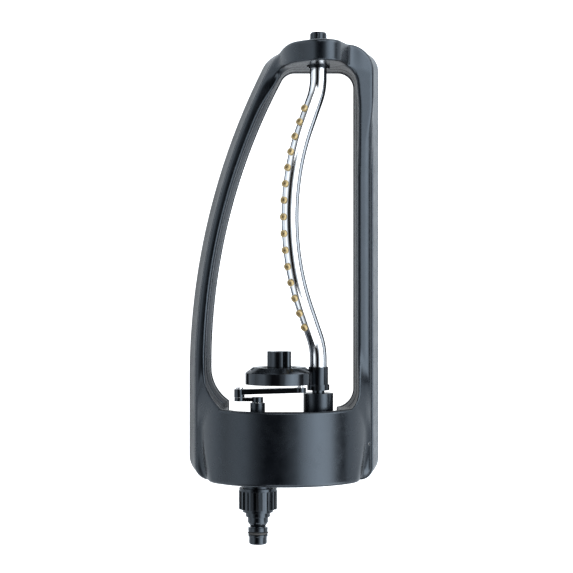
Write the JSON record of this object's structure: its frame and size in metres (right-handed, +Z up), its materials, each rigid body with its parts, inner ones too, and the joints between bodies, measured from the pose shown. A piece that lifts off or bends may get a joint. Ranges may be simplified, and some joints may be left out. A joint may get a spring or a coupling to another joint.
{
  "type": "oscillating lawn sprinkler",
  "caption": "Oscillating sprinkler: a bowed metal spray tube rocks in a curved plastic frame, driven by a water motor, crank and link, with a range dial and a hose fitting.",
  "frame": {"origin": "on the ground, at the middle of the frame's width and 172.5 mm from its inlet end wall", "axes": "+X to the right of the hose inlet seen from above, +Y from the hose inlet towards the arch, +Z up"},
  "size_m": [0.173, 0.4534, 0.0823],
  "materials": {
    "frame_plastic": "satin moulded plastic, blue-black, fine grain",
    "gloss_plastic": "polished black moulded plastic",
    "tube_metal": "bright drawn aluminium tube",
    "nozzle_plastic": "tan brass-coloured nozzle inserts",
    "steel": "zinc-plated steel",
    "rubber": "black nitrile rubber",
    "gear_plastic": "natural white acetal"
  },
  "bodies": {
    "frame": {"lower_frame": "frame_plastic", "upper_shell": "frame_plastic", "motor_housing": "frame_plastic", "housing_cover": "frame_plastic", "housing_gasket": "rubber", "jet_plate": "gear_plastic", "inlet_filter": "gear_plastic", "turbine_shaft": "steel", "idler_shaft": "steel", "crank_seal": "rubber", "end_bush": "gloss_plastic", "shell_screws": "steel", "motor_screws": "steel", "cover_screws": "steel", "hose_nipple": "gloss_plastic", "nipple_o_ring": "rubber", "nut_washer": "rubber"},
    "union_nut": {"union_nut": "gloss_plastic"},
    "spray_arm": {"spray_tube": "tube_metal", "nozzles": "nozzle_plastic", "rocker": "gloss_plastic", "rocker_cover": "gloss_plastic", "rocker_cover_screws": "steel", "neck_o_rings": "rubber", "tube_washer": "rubber", "end_plug": "gloss_plastic", "plug_o_ring": "rubber", "knob_screw": "steel"},
    "dial": {"range_dial": "gloss_plastic", "range_knob": "gloss_plastic"},
    "crank": {"crank_arm": "gloss_plastic", "crank_pin": "steel", "crank_shaft": "steel", "output_gear": "gear_plastic"},
    "link": {"link_bar": "gloss_plastic", "drive_pin": "steel"},
    "gear_a": {"compound_gear_a": "gear_plastic"},
    "gear_b": {"compound_gear_b": "gear_plastic"},
    "turbine": {"turbine_wheel": "gear_plastic"}
  },
  "joints": [
    {"name": "tube_swing", "type": "hinge", "parent": "frame", "child": "spray_arm", "pos_m": [0.0305, 0, 0.042], "axis": [0, 1, 0], "range_deg": [0, 90]},
    {"name": "range_dial_turn", "type": "hinge", "parent": "spray_arm", "child": "dial", "pos_m": [-0.00415, -0.072, 0.048], "axis": [0, 1, 0], "range_deg": [0, 270]},
    {"name": "crank_turn", "type": "hinge", "parent": "frame", "child": "crank", "pos_m": [-0.023, -0.1, 0.058], "axis": [0, 1, 0], "range_deg": [0, 180]},
    {"name": "link_pivot", "type": "hinge", "parent": "crank", "child": "link", "pos_m": [-0.039, -0.09, 0.058], "axis": [0, 1, 0], "range_deg": [-180, 0]},
    {"name": "gear_b_spin", "type": "hinge", "parent": "frame", "child": "gear_b", "pos_m": [-0.023, -0.14, 0.042], "axis": [0, 1, 0], "range_deg": [-540, 0]},
    {"name": "gear_a_spin", "type": "hinge", "parent": "frame", "child": "gear_a", "pos_m": [-0.023, -0.145, 0.058], "axis": [0, 1, 0], "range_deg": [0, 1620]},
    {"name": "turbine_spin", "type": "hinge", "parent": "frame", "child": "turbine", "pos_m": [-0.023, -0.155, 0.042], "axis": [0, 1, 0], "range_deg": [-4860, 0]},
    {"name": "nut_turn", "type": "hinge", "parent": "frame", "child": "union_nut", "pos_m": [-0.023, -0.188, 0.042], "axis": [0, 1, 0], "continuous": true}
  ],
  "couplings": [
    {"joint": "crank_turn", "follows": "tube_swing", "ratio": 2},
    {"joint": "link_pivot", "follows": "tube_swing", "ratio": -2},
    {"joint": "gear_b_spin", "follows": "tube_swing", "ratio": -6},
    {"joint": "gear_a_spin", "follows": "tube_swing", "ratio": 18},
    {"joint": "turbine_spin", "follows": "tube_swing", "ratio": -54}
  ]
}
